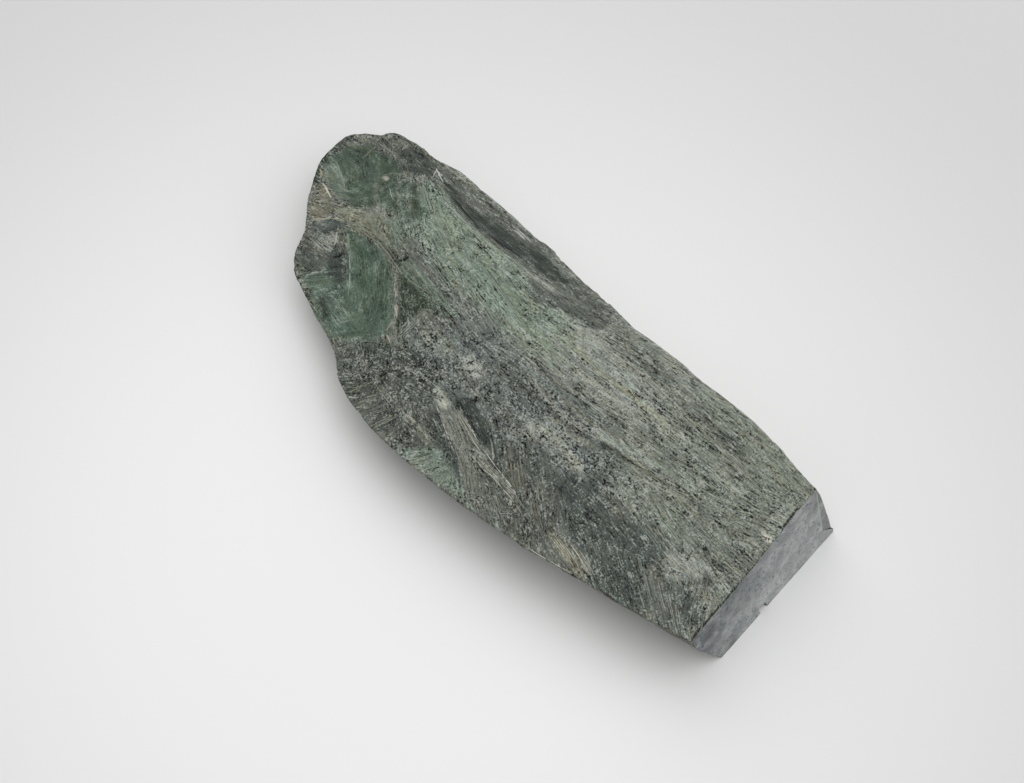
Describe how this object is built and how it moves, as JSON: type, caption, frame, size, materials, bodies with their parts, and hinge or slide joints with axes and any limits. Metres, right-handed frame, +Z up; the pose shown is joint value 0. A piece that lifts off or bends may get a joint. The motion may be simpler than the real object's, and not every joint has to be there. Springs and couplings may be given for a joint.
{
  "type": "raw jade boulder",
  "caption": "Piece of raw jade boulder, split along the grain on top, scooped at the thin end, sawn flat across the thick end and underneath.",
  "frame": {"origin": "middle of the bounding box in plan, on the sawn base", "axes": "+X along the stone towards the sawn end, +Z up out of the sawn base, +Y towards the side with the ledge"},
  "size_m": [0.2414, 0.1026, 0.0331],
  "materials": {
    "jade": "dull split stone with a fibrous grain, mottled grey-green, smoother and darker in the scoops; sawn faces matt blue-grey"
  },
  "bodies": {
    "root": {"jade_boulder": "jade"}
  },
  "joints": []
}
